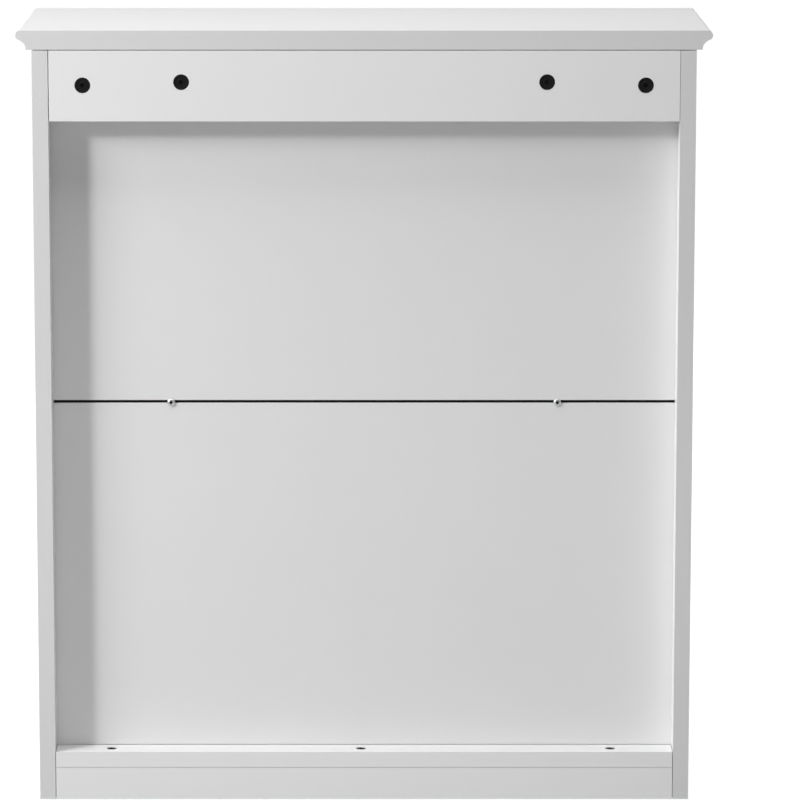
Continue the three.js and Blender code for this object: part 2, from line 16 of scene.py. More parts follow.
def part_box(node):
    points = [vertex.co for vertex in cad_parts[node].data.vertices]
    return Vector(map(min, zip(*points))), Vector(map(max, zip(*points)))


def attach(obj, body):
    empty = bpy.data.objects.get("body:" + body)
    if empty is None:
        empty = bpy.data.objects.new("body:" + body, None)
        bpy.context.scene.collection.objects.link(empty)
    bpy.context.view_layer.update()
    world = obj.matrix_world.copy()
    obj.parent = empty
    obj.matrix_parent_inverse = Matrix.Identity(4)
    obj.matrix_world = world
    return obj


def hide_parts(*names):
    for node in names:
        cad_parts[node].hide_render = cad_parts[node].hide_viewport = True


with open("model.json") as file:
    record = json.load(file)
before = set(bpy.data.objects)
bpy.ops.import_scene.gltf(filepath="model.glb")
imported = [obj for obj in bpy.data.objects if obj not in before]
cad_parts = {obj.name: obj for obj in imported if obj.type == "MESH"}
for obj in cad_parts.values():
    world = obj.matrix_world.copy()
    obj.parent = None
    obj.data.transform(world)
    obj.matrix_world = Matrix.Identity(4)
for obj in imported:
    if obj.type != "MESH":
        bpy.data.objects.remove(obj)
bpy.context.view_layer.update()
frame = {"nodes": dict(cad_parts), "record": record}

MM = 0.001
record = frame["record"]
body_of = {node: body for body, nodes in record["behaviour"]["bodies"].items() for node in nodes}
slot_of = {entry["node"]: entry["material_slot"] for entry in record["subparts"]}

# %% [markdown]
# ## The camera
# The view comes from a little above the top, far back and with a long lens, so that upright edges
# stay almost parallel. The lens is aimed down by a few degrees rather than moved down, because the
# slight narrowing towards the floor comes from that tilt. A small sideways shift of the lens frames
# the cabinet left of the middle without turning it.

# %% Camera
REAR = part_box("rear_top_rail")[1].y
EYE_BEHIND = 4.405
EYE_HEIGHT = 1.148
LOOK_DOWN = math.radians(9.7265)

lens = bpy.data.cameras.new("camera")
lens.lens = 211.85
lens.sensor_width = 36
lens.shift_x = 0.0448
camera = bpy.data.objects.new("camera", lens)
camera.location = (0, REAR + EYE_BEHIND, EYE_HEIGHT)
camera.rotation_euler = (math.pi / 2 - LOOK_DOWN, 0, math.pi)
bpy.context.scene.collection.objects.link(camera)
bpy.context.scene.camera = camera
print("camera at", [round(v, 3) for v in camera.location])

# %% [markdown]
# ## Shader helpers
# A finish is a small network of nodes. A helper that adds a node, sets its inputs and links what is
# passed to it keeps each network as short as a sentence.

# %% Node helpers
def add_node(tree, kind, links=None, **values):
    """Adds a node. Values set its properties, and links fill its inputs, with a socket or a constant."""
    node = tree.nodes.new(kind)
    for key, value in values.items():
        setattr(node, key, value)
    for key, value in (links or {}).items():
        if isinstance(value, bpy.types.NodeSocket):
            tree.links.new(value, node.inputs[key])
        else:
            node.inputs[key].default_value = value
    return node


def make_group(name, inputs, outputs):
    """An empty shader group with named sockets, and its two end nodes."""
    group = bpy.data.node_groups.new(name, "ShaderNodeTree")
    for title, kind, default in inputs:
        socket = group.interface.new_socket(title, in_out="INPUT", socket_type=kind)
        if default is not None:
            socket.default_value = default
    for title, kind in outputs:
        group.interface.new_socket(title, in_out="OUTPUT", socket_type=kind)
    return group, group.nodes.new("NodeGroupInput"), group.nodes.new("NodeGroupOutput")


def use_group(tree, group, links):
    """Adds a shader group and fills its inputs."""
    return add_node(tree, "ShaderNodeGroup", links, node_tree=group)


def maths(tree, operation, a, b=0.0, clamp=False):
    """One step of arithmetic, as its output socket."""
    node = add_node(tree, "ShaderNodeMath", {0: a, 1: b}, operation=operation, use_clamp=clamp)
    return node.outputs[0]


def spread(tree, value, low, high):
    """Maps a value from 0..1 to low..high."""
    node = add_node(tree, "ShaderNodeMapRange", {"Value": value, "To Min": low, "To Max": high})
    return node.outputs["Result"]


# %% [markdown]
# ## Shared surface effects
# Three things vary on almost every surface here. The colour drifts by a percent or two, the skin has
# a fine ripple like orange peel, and a little dust settles on what faces up. Each is one group with
# its strength and size as inputs, so that every finish can use it in its own measure.

# %% Group: mottled colour
mottle, ends_in, ends_out = make_group(
    "Mottled colour",
    [("Vector", "NodeSocketVector", None), ("Color", "NodeSocketColor", (0.8, 0.8, 0.8, 1)),
     ("Amount", "NodeSocketFloat", 0.03), ("Scale", "NodeSocketFloat", 6.0)],
    [("Color", "NodeSocketColor"), ("Mask", "NodeSocketFloat")],
)
cloud = add_node(mottle, "ShaderNodeTexNoise", {
    "Vector": ends_in.outputs["Vector"], "Scale": ends_in.outputs["Scale"],
    "Detail": 5.0, "Roughness": 0.6})
shift = maths(mottle, "MULTIPLY", maths(mottle, "SUBTRACT", cloud.outputs["Fac"], 0.5),
              ends_in.outputs["Amount"])
tint = add_node(mottle, "ShaderNodeHueSaturation", {
    "Color": ends_in.outputs["Color"], "Value": maths(mottle, "ADD", shift, 1.0)})
mottle.links.new(tint.outputs["Color"], ends_out.inputs["Color"])
mottle.links.new(cloud.outputs["Fac"], ends_out.inputs["Mask"])

# %% Group: rippled skin
GRIT_FINER = 5.0      # how many times finer the grit is than the ripple
ripple, ends_in, ends_out = make_group(
    "Rippled skin",
    [("Vector", "NodeSocketVector", None), ("Scale", "NodeSocketFloat", 300.0),
     ("Grit", "NodeSocketFloat", 0.25)],
    [("Height", "NodeSocketFloat"), ("Mask", "NodeSocketFloat")],
)
waves = add_node(ripple, "ShaderNodeTexNoise", {
    "Vector": ends_in.outputs["Vector"], "Scale": ends_in.outputs["Scale"], "Detail": 2.0})
fine_scale = maths(ripple, "MULTIPLY", ends_in.outputs["Scale"], GRIT_FINER)
grit = add_node(ripple, "ShaderNodeTexNoise", {
    "Vector": ends_in.outputs["Vector"], "Scale": fine_scale, "Detail": 3.0})
height = maths(ripple, "ADD", waves.outputs["Fac"],
               maths(ripple, "MULTIPLY", grit.outputs["Fac"], ends_in.outputs["Grit"]))
ripple.links.new(height, ends_out.inputs["Height"])
ripple.links.new(grit.outputs["Fac"], ends_out.inputs["Mask"])

# %% Group: settled dust
DUST_STEEPNESS = 4.0  # how quickly dust thins out as a face tilts away from level
# A Mix node keeps sockets for every kind of data, so those of a colour are picked by their number.
MIX_FACTOR, MIX_FIRST, MIX_SECOND, MIXED_COLOUR = 0, 6, 7, 2
dust, ends_in, ends_out = make_group(
    "Settled dust",
    [("Vector", "NodeSocketVector", None), ("Color", "NodeSocketColor", (0.8, 0.8, 0.8, 1)),
     ("Dust", "NodeSocketColor", (0.62, 0.6, 0.57, 1)), ("Amount", "NodeSocketFloat", 0.06)],
    [("Color", "NodeSocketColor"), ("Mask", "NodeSocketFloat")],
)
facing = add_node(dust, "ShaderNodeNewGeometry")
upward = add_node(dust, "ShaderNodeSeparateXYZ", {"Vector": facing.outputs["Normal"]}).outputs["Z"]
specks = add_node(dust, "ShaderNodeTexNoise", {
    "Vector": ends_in.outputs["Vector"], "Scale": 60.0, "Detail": 6.0, "Roughness": 0.7})
level = maths(dust, "POWER", maths(dust, "MAXIMUM", upward, 0.0), DUST_STEEPNESS)
laid = maths(dust, "MULTIPLY", level, specks.outputs["Fac"])
amount = maths(dust, "MULTIPLY", laid, ends_in.outputs["Amount"], clamp=True)
mixed = add_node(dust, "ShaderNodeMix", data_type="RGBA")
dust.links.new(amount, mixed.inputs[MIX_FACTOR])
dust.links.new(ends_in.outputs["Color"], mixed.inputs[MIX_FIRST])
dust.links.new(ends_in.outputs["Dust"], mixed.inputs[MIX_SECOND])
dust.links.new(mixed.outputs[MIXED_COLOUR], ends_out.inputs["Color"])
dust.links.new(amount, ends_out.inputs["Mask"])
print("groups:", [group.name for group in bpy.data.node_groups])

# %% [markdown]
# ## White skins
# The boards are wrapped in a printed white foil, the back panels are painted hardboard, the racks
# are melamine, and the brackets are moulded plastic. All are white, and what tells them apart is how
# they take light. So one recipe makes them, and only the colour, ripple, grit and roughness differ.
# The constants are set on the shader itself, and only what varies comes through the nodes.

# %% White materials
WHITE_DRIFT = 0.05    # how far roughness drifts either way


def white_skin(name, colour, roughness, ripple_scale, ripple_depth, grit=0.25, mottling=0.03,
               dusting=0.05, gloss=0.4):
    """A white finish with a rippled skin. Depth is in metres, and gloss is the specular level."""
    material = bpy.data.materials.new(name)
    material.use_nodes = True
    tree = material.node_tree
    shader = tree.nodes["Principled BSDF"]
    place = add_node(tree, "ShaderNodeTexCoord").outputs["Object"]
    paint = use_group(tree, mottle, {"Vector": place, "Color": (*colour, 1), "Amount": mottling})
    dusted = use_group(tree, dust, {"Vector": place, "Color": paint.outputs["Color"], "Amount": dusting})
    skin = use_group(tree, ripple, {"Vector": place, "Scale": ripple_scale, "Grit": grit})
    bump = add_node(tree, "ShaderNodeBump", {
        "Height": skin.outputs["Height"], "Distance": ripple_depth, "Strength": 1.0})
    drift = spread(tree, skin.outputs["Mask"], roughness - WHITE_DRIFT, roughness + WHITE_DRIFT)
    worn = maths(tree, "ADD", drift, dusted.outputs["Mask"])
    tree.links.new(dusted.outputs["Color"], shader.inputs["Base Color"])
    tree.links.new(worn, shader.inputs["Roughness"])
    tree.links.new(bump.outputs["Normal"], shader.inputs["Normal"])
    shader.inputs["Specular IOR Level"].default_value = gloss
    return material


FOIL = white_skin("white foil", (0.83, 0.83, 0.832), roughness=0.42,
                  ripple_scale=260, ripple_depth=0.00003)
EDGE_BAND = white_skin("white edge band", (0.7, 0.7, 0.702), roughness=0.36,
                       ripple_scale=500, ripple_depth=0.00002, grit=0.4, mottling=0.02)
BACK_PAINT = white_skin("white painted hardboard", (0.8, 0.8, 0.802), roughness=0.5,
                        ripple_scale=420, ripple_depth=0.00003, grit=0.5, mottling=0.04)
MELAMINE = white_skin("white melamine", (0.78, 0.78, 0.775), roughness=0.5,
                      ripple_scale=700, ripple_depth=0.00004, grit=0.6)
PLASTIC = white_skin("white moulded plastic", (0.76, 0.76, 0.75), roughness=0.38,
                     ripple_scale=900, ripple_depth=0.00002, grit=0.7, dusting=0.02)
print("white finishes:", FOIL.name, BACK_PAINT.name, MELAMINE.name, PLASTIC.name)

# %% [markdown]
# ## Metals
# The cams are black-coated castings, the screws and pins bright zinc, the knobs satin nickel. The
# inside of a screw's recess is given a dull, dark finish that is painted shade: it stands for the
# shadow deep in the hollow. A turned part keeps fine rings from the lathe. They follow the profile
# and not the room, so the mesh carries its own distance along the profile as an attribute, and a
# one-dimensional noise reads it.

# %% Metal materials
METAL_DRIFT = 0.08    # how far roughness drifts either way
RING_SCALE = 6000.0   # lathe rings, as the scale of the noise along the profile
GRAIN_SCALE = 900     # the grain of a casting or a plating


def metal(name, colour, roughness, metallic, ring_depth, grain_depth=0.00001, mottling=0.08, gloss=0.5):
    """A metal with lathe rings along the profile and a cast or plated grain all over.

    Depths are in metres. A coating hides the metal, so a coated part is not metallic, and its gloss
    is the specular level.
    """
    material = bpy.data.materials.new(name)
    material.use_nodes = True
    tree = material.node_tree
    shader = tree.nodes["Principled BSDF"]
    place = add_node(tree, "ShaderNodeTexCoord").outputs["Object"]
    paint = use_group(tree, mottle, {
        "Vector": place, "Color": (*colour, 1), "Amount": mottling, "Scale": 120.0})
    along = add_node(tree, "ShaderNodeAttribute", attribute_name="along").outputs["Fac"]
    rings = add_node(tree, "ShaderNodeTexNoise", {"W": along, "Scale": RING_SCALE, "Detail": 2.0},
                     noise_dimensions="1D")
    grain = use_group(tree, ripple, {"Vector": place, "Scale": GRAIN_SCALE, "Grit": 0.5})
    turned_bump = add_node(tree, "ShaderNodeBump", {
        "Height": rings.outputs["Fac"], "Distance": ring_depth, "Strength": 1.0})
    bump = add_node(tree, "ShaderNodeBump", {
        "Height": grain.outputs["Height"], "Distance": grain_depth, "Strength": 1.0,
        "Normal": turned_bump.outputs["Normal"]})
    tree.links.new(paint.outputs["Color"], shader.inputs["Base Color"])
    worn = spread(tree, paint.outputs["Mask"], roughness - METAL_DRIFT, roughness + METAL_DRIFT)
    tree.links.new(worn, shader.inputs["Roughness"])
    tree.links.new(bump.outputs["Normal"], shader.inputs["Normal"])
    shader.inputs["Metallic"].default_value = metallic
    shader.inputs["Specular IOR Level"].default_value = gloss
    return material


BLACK_CAST = metal("black coated zinc", (0.008, 0.008, 0.009), roughness=0.42, metallic=0.0,
                   ring_depth=0.0, grain_depth=0.0003, gloss=0.14)
# The recess finish is painted shade: its near-black colour stands for the shadow deep in a driver's
# recess.
PAINTED_RECESS_SHADE = metal("painted shade in recess", (0.012, 0.012, 0.013), roughness=0.6, metallic=0.0,
               ring_depth=0.0, grain_depth=0.00003, gloss=0.15)
BRIGHT_ZINC = metal("bright zinc plate", (0.72, 0.73, 0.75), roughness=0.3, metallic=1.0,
                    ring_depth=0.000004)
NICKEL = metal("satin nickel", (0.63, 0.61, 0.57), roughness=0.28, metallic=1.0,
               ring_depth=0.000006, mottling=0.04)
print("metals:", BLACK_CAST.name, BRIGHT_ZINC.name, NICKEL.name)

# %% [markdown]
# ## Black seam tape
# A strip of woven cloth tape closes the open seam between the back panels from the inside. Two wave
# textures at right angles give the weave, one for each thread direction.

# %% Tape material
def woven(name, colour, weave_scale):
    """A matt cloth. The scale is that of the wave texture that stands for each set of threads."""
    material = bpy.data.materials.new(name)
    material.use_nodes = True
    tree = material.node_tree
    shader = tree.nodes["Principled BSDF"]
    place = add_node(tree, "ShaderNodeTexCoord").outputs["Object"]
    threads = [
        add_node(tree, "ShaderNodeTexWave", {"Vector": place, "Scale": weave_scale},
                 bands_direction=direction).outputs["Fac"]
        for direction in ("X", "Z")
    ]
    cloth = maths(tree, "MAXIMUM", *threads)
    bump = add_node(tree, "ShaderNodeBump", {"Height": cloth, "Distance": 0.0001, "Strength": 1.0})
    paint = use_group(tree, mottle, {
        "Vector": place, "Color": (*colour, 1), "Amount": 0.2, "Scale": 90.0})
    tree.links.new(paint.outputs["Color"], shader.inputs["Base Color"])
    tree.links.new(spread(tree, cloth, 0.8, 0.95), shader.inputs["Roughness"])
    tree.links.new(bump.outputs["Normal"], shader.inputs["Normal"])
    return material


TAPE = woven("black cloth tape", (0.004, 0.004, 0.004), weave_scale=400)
FINISH = {
    "white_foil": FOIL, "white_back": BACK_PAINT, "rack_white": MELAMINE, "white_plastic": PLASTIC,
    "black_tape": TAPE, "black_zinc": BLACK_CAST, "bright_zinc": BRIGHT_ZINC, "satin_nickel": NICKEL,
}
for node, cad in frame["nodes"].items():
    cad.data.materials.clear()
    cad.data.materials.append(FINISH[slot_of[node]])
print("every solid has its finish")

# %% [markdown]
# ## Boards
# A real board is never sharp: the foil is folded over an edge rounded by a few tenths of a millimetre,
# and that thin highlight is what the eye reads as a board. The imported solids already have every
# groove and bore, so a copy of each is merged, its flat areas are joined, and its edges are rounded.
# Starting from the solid keeps every size. A Bevel modifier could do the same, but in mesh code the
# result is plain at once.

# %% Rounding a copy of a solid
SMOOTH_ANGLE = math.radians(35)   # faces that meet at less are shaded as one curve
SHARP_ANGLE = math.radians(50)    # edges that turn by more are rounded
FLAT_ANGLE = math.radians(0.5)    # faces that meet at less are one flat area
SAME_POINT = 0.005 * MM
ON_END = 0.01 * MM


def finish_mesh(shape, name, smooth=False):
    """Turns a bmesh into a mesh, flat or smooth shaded."""
    mesh = bpy.data.meshes.new(name)
    shape.to_mesh(mesh)
    shape.free()
    mesh.polygons.foreach_set("use_smooth", [smooth] * len(mesh.polygons))
    if smooth:
        mesh.set_sharp_from_angle(angle=SMOOTH_ANGLE)
    return mesh


def add_piece(name, mesh, body, slot, replaced=()):
    """A finished piece: it takes the finish of its slot, rides on its body and may stand for solids.

    Faces with material index 1 are inside a screw's recess, and get the dark recess finish, which is
    painted shade.
    """
    wanted = [face.material_index for face in mesh.polygons]
    mesh.materials.clear()
    mesh.materials.append(FINISH[slot])
    # Recess faces take the dark finish that paints the shade inside a recess.
    if any(wanted):
        mesh.materials.append(PAINTED_RECESS_SHADE)
        mesh.polygons.foreach_set("material_index", wanted)
    piece = bpy.data.objects.new(name, mesh)
    bpy.context.scene.collection.objects.link(piece)
    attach(piece, body)
    if replaced:
        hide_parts(*replaced)
    return piece


def merged_copy(node):
    """A solid's mesh as a bmesh of whole faces."""
    shape = bmesh.new()
    shape.from_mesh(frame["nodes"][node].data)
    bmesh.ops.remove_doubles(shape, verts=shape.verts, dist=SAME_POINT)
    bmesh.ops.dissolve_limit(shape, angle_limit=FLAT_ANGLE, verts=shape.verts, edges=shape.edges)
    return shape


def rounded(node, radius, steps=3, ease=()):
    """A board with its sharp edges rounded, which stands for its solid.

    Ease draws an end in: (axis 0..2, side -1 or 1, by how much).
    """
    shape = merged_copy(node)
    for axis, side, by in ease:
        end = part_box(node)[0 if side < 0 else 1][axis]
        for vertex in shape.verts:
            if abs(vertex.co[axis] - end) < ON_END:
                vertex.co[axis] -= side * by
    sharp = [edge for edge in shape.edges if edge.calc_face_angle(0) > SHARP_ANGLE]
    bmesh.ops.bevel(shape, geom=sharp, offset=radius, offset_type="OFFSET", segments=steps,
                    profile=0.5, affect="EDGES", clamp_overlap=True)
    return add_piece(node + "_fine", finish_mesh(shape, node), body_of[node], slot_of[node], [node])


def band_edges(piece, way, least=0.9):
    """Gives the faces that look one way the finish of edge band."""
    piece.data.materials.append(EDGE_BAND)
    for face in piece.data.polygons:
        if face.normal.dot(Vector(way)) > least:
            face.material_index = 1


# %% The boards of the body
GAP = 0.35 * MM       # a hairline joint, as an end drawn back from its neighbour
EASE = {
    "side_panel_left": [(2, 1, GAP)],
    "side_panel_right": [(2, 1, GAP)],
    "rear_top_rail": [(2, 1, GAP), (0, 1, GAP)],
    "bottom_shelf": [(0, 1, GAP / 2), (0, -1, GAP / 2)],
    "rear_base_rail": [(0, 1, GAP / 2), (0, -1, GAP / 2)],
}
EDGE = {"foil": 0.35 * MM, "hardboard": 0.25 * MM, "rack": 0.6 * MM, "plastic": 0.5 * MM}
for node in ("side_panel_left", "side_panel_right", "bottom_shelf", "rear_base_rail", "front_plinth",
             "rear_top_rail", "middle_rail"):
    board = rounded(node, EDGE["foil"], ease=EASE.get(node, ()))
    if node.startswith("side_panel"):
        band_edges(board, (0, 1, 0))
        band_edges(board, (0, -1, 0))
    print(board.name, len(board.data.polygons), "faces")
for node in ("back_panel_upper", "back_panel_lower"):
    panel = rounded(node, EDGE["hardboard"], steps=2)
    print(panel.name, len(panel.data.polygons), "faces")

# %% The boards of the flip-down units
UNITS = ("upper", "lower")
for unit in UNITS:
    for part in ("door_stile_left", "door_stile_right", "door_rail_top", "door_rail_bottom",
                 "door_panel"):
        rounded(f"{unit}_{part}", EDGE["foil"])
    for part in ("rack_front_base", "rack_divider", "rack_rear_base", "rack_rear_board"):
        rounded(f"{unit}_{part}", EDGE["rack"])
    for part in ("rack_bracket_left", "rack_bracket_right"):
        rounded(f"{unit}_{part}", EDGE["plastic"])
print("flip-down boards rounded")

# %% [markdown]
# ## The moulded top
# The top has a half-round nose over a hollow, on its front and both ends, and is cut square at the
# rear. A real one is a flat board with a routed edge. Here it is a stack of outlines: each point of
# the edge's section gives how far one outline stands out, and at which height. The corners are then
# true mitres. A sweep along a path would pinch at those corners.

# %% Cutting
WELD_WITHIN = 0.002 * MM
SLIVER_WITHIN = 0.001 * MM


def carve(mesh, tools):
    """Cuts each tool's mesh out of a mesh, and returns the plain result.

    The two empty slots let a tool's faces keep their own material index in the result.
    """
    for part in (mesh, *tools):
        part.materials.append(None)
        part.materials.append(None)
    body = bpy.data.objects.new("carved", mesh)
    made = [body]
    bpy.context.scene.collection.objects.link(body)
    for tool in tools:
        cutter = bpy.data.objects.new("cutter", tool)
        bpy.context.scene.collection.objects.link(cutter)
        cut = body.modifiers.new("cut", "BOOLEAN")
        cut.operation = "DIFFERENCE"
        cut.solver = "EXACT"
        cut.object = cutter
        made.append(cutter)
    depsgraph = bpy.context.evaluated_depsgraph_get()
    result = bpy.data.meshes.new_from_object(body.evaluated_get(depsgraph))
    for used in made:
        bpy.data.objects.remove(used)
    clean = bmesh.new()
    clean.from_mesh(result)
    bmesh.ops.remove_doubles(clean, verts=clean.verts, dist=WELD_WITHIN)
    bmesh.ops.dissolve_degenerate(clean, edges=clean.edges, dist=SLIVER_WITHIN)
    clean.to_mesh(result)
    clean.free()
    return result


def box_mesh(low_corner, high_corner):
    """A plain box between two corners, to cut with."""
    shape = bmesh.new()
    bmesh.ops.create_cube(shape, size=1)
    size = Vector(high_corner) - Vector(low_corner)
    centre = (Vector(high_corner) + Vector(low_corner)) / 2
    bmesh.ops.transform(shape, verts=shape.verts,
                        matrix=Matrix.Translation(centre) @ Matrix.Diagonal((*size, 1)))
    return finish_mesh(shape, "box")


# %% Shadow line at the foot of the lower back panel
REBATE_HIGH, REBATE_DEEP = 0.5 * MM, 0.9 * MM
foot_panel = bpy.data.objects["back_panel_lower_fine"]
FOOT_LOW, FOOT_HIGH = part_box("back_panel_lower")
SHELF_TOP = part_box("bottom_shelf")[1].z
rebate = box_mesh((FOOT_LOW.x - MM, FOOT_HIGH.y - REBATE_DEEP, FOOT_LOW.z - MM),
                  (FOOT_HIGH.x + MM, FOOT_HIGH.y + MM, SHELF_TOP + REBATE_HIGH))
foot_panel.data = carve(foot_panel.data, [rebate])
foot_panel.data.materials.clear()
foot_panel.data.materials.append(BACK_PAINT)
print("lower back panel:", len(foot_panel.data.polygons), "faces")

# %% The top
TOP_LOW, TOP_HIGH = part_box("top_board")
SIDE_LOW, SIDE_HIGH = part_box("side_panel_right")
HALF_BODY = SIDE_HIGH.x
BODY_FRONT = SIDE_LOW.y
NOSE_OUT = TOP_HIGH.x - HALF_BODY
NOSE_RADIUS = 4.5 * MM
COVE_RADIUS = 7.6 * MM
FOOT_OUT = 5.5 * MM
FILLET = 1 * MM


def moulded_edge(steps):
    """The edge's section from the underside up: [out from the body, height above the underside]."""
    thick = TOP_HIGH.z - TOP_LOW.z
    points = [(FOOT_OUT, 0.0), (FOOT_OUT, FILLET)]
    bead_foot = NOSE_OUT - NOSE_RADIUS
    last = math.acos((FOOT_OUT + COVE_RADIUS - bead_foot) / COVE_RADIUS)
    for i in range(1, steps + 1):
        angle = last * i / steps
        points.append((FOOT_OUT + COVE_RADIUS * (1 - math.cos(angle)),
                       FILLET + COVE_RADIUS * math.sin(angle)))
    for i in range(2 * steps + 1):
        angle = -math.pi / 2 + math.pi * i / (2 * steps)
        points.append((bead_foot + NOSE_RADIUS * math.cos(angle),
                       thick + NOSE_RADIUS * (math.sin(angle) - 1)))
    return points


def moulded_top(steps=10):
    """The top as a stack of outlines, one for each point of its edge's section."""
    shape = bmesh.new()
    rings = []
    for out, up in moulded_edge(steps):
        x, y, z = HALF_BODY + out, BODY_FRONT - out, TOP_LOW.z + up
        corners = ((-x, y, z), (x, y, z), (x, TOP_HIGH.y, z), (-x, TOP_HIGH.y, z))
        rings.append([shape.verts.new(corner) for corner in corners])
    shape.faces.new(reversed(rings[0]))
    shape.faces.new(rings[-1])
    for lower, upper in zip(rings, rings[1:]):
        for i in range(4):
            k = (i + 1) % 4
            shape.faces.new((lower[i], lower[k], upper[k], upper[i]))
    return finish_mesh(shape, "top_board", smooth=True)


PANEL_LOW, PANEL_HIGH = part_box("back_panel_upper")
SLACK = 0.3 * MM
top_groove = box_mesh((PANEL_LOW.x - SLACK, PANEL_LOW.y - SLACK, TOP_LOW.z - FILLET),
                      (PANEL_HIGH.x + SLACK, PANEL_HIGH.y + SLACK, PANEL_HIGH.z + SLACK))
top = add_piece("top_board_fine", carve(moulded_top(), [top_groove]), "cabinet", "white_foil",
                ["top_board"])
band_edges(top, (0, 1, 0))
print("top:", len(top.data.polygons), "faces")

# %% [markdown]
# ## Turned hardware
# Cam locks, screws, pins, pegs, knobs and glides are all round. Each is one profile spun about its
# axis, then carved where a driver goes in. The profile is written from the foot to the head in
# millimetres, and a soft one is smoothed by cutting its corners twice. Each vertex stores how far
# along the profile it lies, for the lathe rings of the metals.

# %% Turning
def softened(profile, rounds=2):
    """Cuts the corners of a profile again and again, so that it ends up a smooth curve."""
    for _ in range(rounds):
        cut = [profile[0]]
        for (r0, a0), (r1, a1) in zip(profile, profile[1:]):
            cut += [(near * r0 + (1 - near) * r1, near * a0 + (1 - near) * a1) for near in (0.75, 0.25)]
        profile = cut + [profile[-1]]
    return profile


def turned(profile, way, place, sides=48, spin=0.0):
    """A closed turned mesh. The profile is [radius, distance along] in mm, and starts and ends at 0."""
    shape = bmesh.new()
    length = shape.verts.layers.float.new("along")
    rings, run = [], 0.0
    previous = profile[0]
    for radius, along in profile:
        run += math.dist(previous, (radius, along)) * MM
        previous = (radius, along)
        count = sides if radius > 0 else 1
        ring = []
        for i in range(count):
            angle = 2 * math.pi * i / sides
            vertex = shape.verts.new(
                (radius * MM * math.cos(angle), radius * MM * math.sin(angle), along * MM))
            vertex[length] = run
            ring.append(vertex)
        rings.append(ring)
    for lower, upper in zip(rings, rings[1:]):
        for i in range(sides):
            k = (i + 1) % sides
            corners = [lower[i % len(lower)], lower[k % len(lower)],
                       upper[k % len(upper)], upper[i % len(upper)]]
            shape.faces.new(list(dict.fromkeys(corners)))
    turn = Vector(way).to_track_quat("Z", "Y").to_matrix().to_4x4()
    bmesh.ops.transform(shape, verts=shape.verts,
                        matrix=Matrix.Translation(place) @ turn @ Matrix.Rotation(spin, 4, "Z"))
    bmesh.ops.recalc_face_normals(shape, faces=shape.faces)
    return finish_mesh(shape, "turned", smooth=True)


TIP_SHARE = 0.45      # length of a wing at its tip, as a share of that at its upper end


def wing(length, width, deep, way, place, spin):
    """One wing of a cross recess: a bar that narrows towards its tip, pointing back into the head.

    Its faces ask for a second finish, which the cut keeps: a dark one, painted shade for the shadow deep
    in a recess.
    """
    shape = bmesh.new()
    bmesh.ops.create_cube(shape, size=1)
    for vertex in shape.verts:
        narrow = TIP_SHARE if vertex.co.z < 0 else 1.0
        vertex.co = (vertex.co.x * length * narrow * MM, vertex.co.y * width * MM,
                     vertex.co.z * 2 * deep * MM)
    turn = Vector(way).to_track_quat("Z", "Y").to_matrix().to_4x4()
    bmesh.ops.transform(shape, verts=shape.verts,
                        matrix=Matrix.Translation(place) @ turn @ Matrix.Rotation(spin, 4, "Z"))
    for side in shape.faces:
        side.material_index = 1
    return finish_mesh(shape, "wing")


def cross(length, width, deep, way, place, spin=0.0):
    """The two wings of a cross recess."""
    return [wing(length, width, deep, way, place, spin + quarter * math.pi / 2) for quarter in (0, 1)]


def middle(node):
    """The middle of a solid's box."""
    low_corner, high_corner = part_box(node)
    return (low_corner + high_corner) / 2


# %% Cam locks
CAM_TURNS = {"left_end": 0.35, "left_top": 1.2, "right_top": 0.8, "right_end": 0.15}
# In millimetres, as every profile is.
CAM_RADIUS, CAM_DEEP, CAM_RIM, CAM_SUNK = 7.3, 12.0, 0.7, 0.5
BOLT_ROOM, BOLT_REACH, BOLT_DEEP = 3.7, 12, 7.5
ARROW_SIZE, ARROW_DEEP, ARROW_OUT = 1.1, 0.9, 4.6


def cam_lock(name, spin):
    """A black cam: a drum with a raised rim, a cross for the driver, an arrow, and room for the bolt."""
    node = "cam_lock_" + name
    face = Vector((middle(node).x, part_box(node)[1].y, middle(node).z))
    drum = [(0, -CAM_DEEP), (CAM_RADIUS, -CAM_DEEP), (CAM_RADIUS, -CAM_RIM), (CAM_RADIUS - 0.25, -0.2),
            (CAM_RADIUS - CAM_RIM, 0), (CAM_RADIUS - 1.5, 0), (CAM_RADIUS - 1.9, -CAM_SUNK),
            (0, -CAM_SUNK)]
    mesh = turned(drum, (0, 1, 0), face)
    outward = Vector((1 if name.startswith("right") else -1, 0, 0))
    run = Vector((0, 0, 1)) if name.endswith("top") else outward
    bolt_line = Vector((face.x, REAR - BOLT_DEEP * MM, face.z))
    channel = turned([(0, -3), (BOLT_ROOM, -3), (BOLT_ROOM, BOLT_REACH), (0, BOLT_REACH)],
                     run, bolt_line, sides=24)
    arrow_place = face + Matrix.Rotation(spin, 3, "Y") @ Vector((0, 0, ARROW_OUT * MM))
    arrow = turned([(0, -ARROW_DEEP), (ARROW_SIZE, -ARROW_DEEP), (ARROW_SIZE, 1), (0, 1)],
                   (0, 1, 0), arrow_place, sides=3, spin=spin)
    carved = carve(mesh, [channel, arrow, *cross(7.6, 1.9, 2.6, (0, 1, 0), face, spin)])
    return add_piece(node + "_fine", carved, "cabinet", "black_zinc", [node])


for name, spin in CAM_TURNS.items():
    cam = cam_lock(name, spin)
    print(cam.name, len(cam.data.polygons), "faces")

